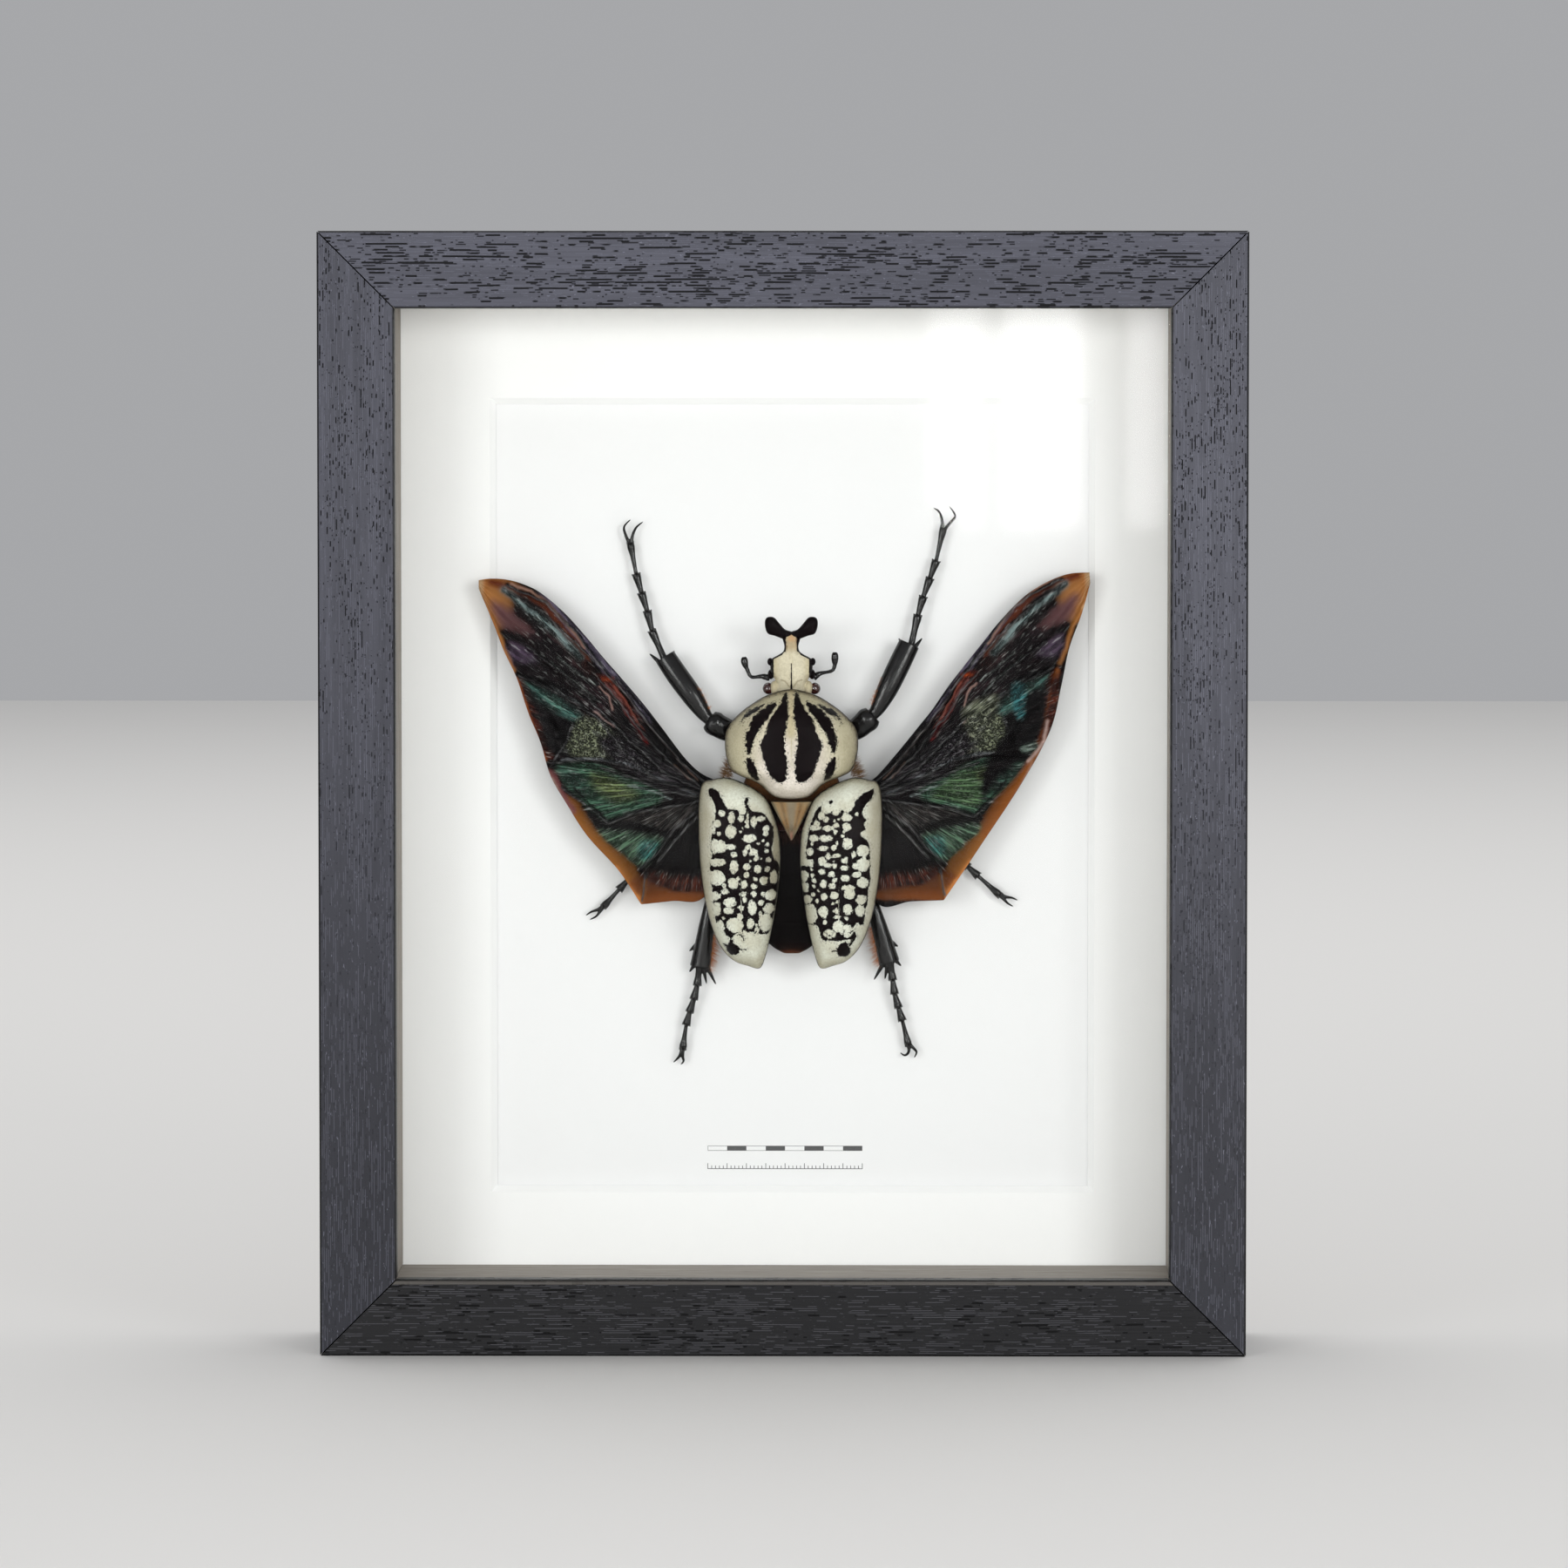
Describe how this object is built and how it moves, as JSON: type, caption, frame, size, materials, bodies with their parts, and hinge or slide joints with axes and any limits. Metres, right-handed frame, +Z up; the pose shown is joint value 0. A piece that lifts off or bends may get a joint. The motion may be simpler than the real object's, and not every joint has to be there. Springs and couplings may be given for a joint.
{
  "type": "framed goliath beetle",
  "caption": "Deep glazed box frame with a window mat, holding a goliath beetle specimen with spread wings.",
  "frame": {"origin": "middle of the underside of the frame, where it stands", "axes": "+Z up the frame, +X to the viewer's right, -Y out of the glass towards the viewer"},
  "size_m": [0.235, 0.05, 0.285],
  "materials": {
    "stained_wood": "charcoal stained open-grain wood with a satin sheen",
    "glass": "clear flat picture glass",
    "spacer_wood": "grey-brown stained strip, matt",
    "mat_card": "smooth white mat card",
    "mounting_card": "smooth white mounting card",
    "fibreboard": "brown pressed fibreboard",
    "steel": "plated sheet steel",
    "pale_shell": "insect shell, cream with black markings, satin",
    "brown_shell": "insect shell, orange-brown with short hairs",
    "black_shell": "insect shell, glossy black with pits",
    "wing_membrane": "thin wing membrane, dark with an amber margin and a metallic green sheen"
  },
  "bodies": {
    "root": {"rail_top": "stained_wood", "rail_bottom": "stained_wood", "rail_left": "stained_wood", "rail_right": "stained_wood", "glass_pane": "glass", "spacer_top": "spacer_wood", "spacer_bottom": "spacer_wood", "spacer_left": "spacer_wood", "spacer_right": "spacer_wood", "mat_board": "mat_card", "mounting_board": "mounting_card", "back_panel": "fibreboard", "panel_tab_1": "steel", "panel_tab_2": "steel", "panel_tab_3": "steel", "panel_tab_4": "steel", "panel_tab_5": "steel", "panel_tab_6": "steel", "panel_tab_7": "steel", "panel_tab_8": "steel", "hanger_plate": "steel", "pronotum": "pale_shell", "elytron_left": "pale_shell", "elytron_right": "pale_shell", "head": "pale_shell", "scutellum": "brown_shell", "thorax": "black_shell", "abdomen": "black_shell", "eye_left": "black_shell", "eye_right": "black_shell", "antenna_left": "black_shell", "antenna_right": "black_shell", "leg_front_left": "black_shell", "leg_front_right": "black_shell", "leg_middle_left": "black_shell", "leg_middle_right": "black_shell", "leg_hind_left": "black_shell", "leg_hind_right": "black_shell", "hindwing_left": "wing_membrane", "hindwing_right": "wing_membrane"}
  },
  "joints": []
}
